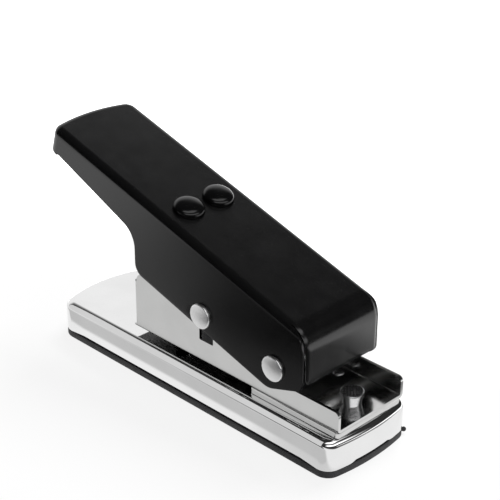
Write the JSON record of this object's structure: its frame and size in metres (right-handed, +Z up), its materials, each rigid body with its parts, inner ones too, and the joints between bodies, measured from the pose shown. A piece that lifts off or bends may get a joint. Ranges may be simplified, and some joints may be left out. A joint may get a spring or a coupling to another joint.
{
  "type": "guitar pick punch",
  "caption": "Hand punch that cuts guitar picks from cards: black sprung lever, chromed channel and hollow base with a card slot and a pull-off bottom cover.",
  "frame": {"origin": "on the base's underside near its middle, on the table", "axes": "+X along the base towards the nose and its post, +Z up, +Y to the left of someone looking along +X"},
  "size_m": [0.1519, 0.0436, 0.0887],
  "materials": {
    "chrome_tray": "polished chrome on drawn sheet",
    "black_plastic": "fine matt moulded",
    "tool_steel": "ground",
    "zinc_steel": "zinc plated",
    "chrome_sheet": "bright chrome on bent sheet",
    "bright_steel": "bright turned",
    "spring_steel": "bright drawn wire",
    "black_paint": "semi-gloss black paint",
    "black_gloss": "gloss black",
    "pin_chrome": "polished",
    "dark_steel": "dark milled"
  },
  "bodies": {
    "frame": {"base_tray": "chrome_tray", "die_block": "tool_steel", "die_screws": "zinc_steel", "nose_spacer": "chrome_sheet", "channel_frame": "chrome_sheet", "front_post": "bright_steel", "floor_rivets": "bright_steel", "punch_guide": "tool_steel", "guide_screws": "zinc_steel", "spring_studs": "bright_steel", "spring_left": "spring_steel", "spring_right": "spring_steel"},
    "cover": {"base_cover": "black_plastic"},
    "lever": {"lever_shell": "black_paint", "spring_buttons": "black_gloss", "pivot_pin": "pin_chrome", "pivot_cap": "pin_chrome", "drive_pin": "pin_chrome", "drive_cap": "pin_chrome", "pivot_washers": "zinc_steel"},
    "punch": {"punch_head": "tool_steel", "punch_stem": "dark_steel", "stem_screw": "zinc_steel"}
  },
  "joints": [
    {"name": "lever_hinge", "type": "hinge", "parent": "frame", "child": "lever", "pos_m": [0.0434, 0, 0.0325], "axis": [0, -1, 0], "range_deg": [0, 14], "stiffness_Nm_per_rad": 6, "springref_deg": -6.88, "deforming": ["spring_left", "spring_right"]},
    {"name": "punch_slide", "type": "slide", "parent": "frame", "child": "punch", "axis": [0, 0, -1], "range_m": [0, 0.009]},
    {"name": "cover_pull", "type": "slide", "parent": "frame", "child": "cover", "axis": [0, 0, -1], "range_m": [0, 0.012]}
  ],
  "couplings": [
    {"joint": "punch_slide", "follows": "lever_hinge", "m_per_rad": 0.036395}
  ]
}
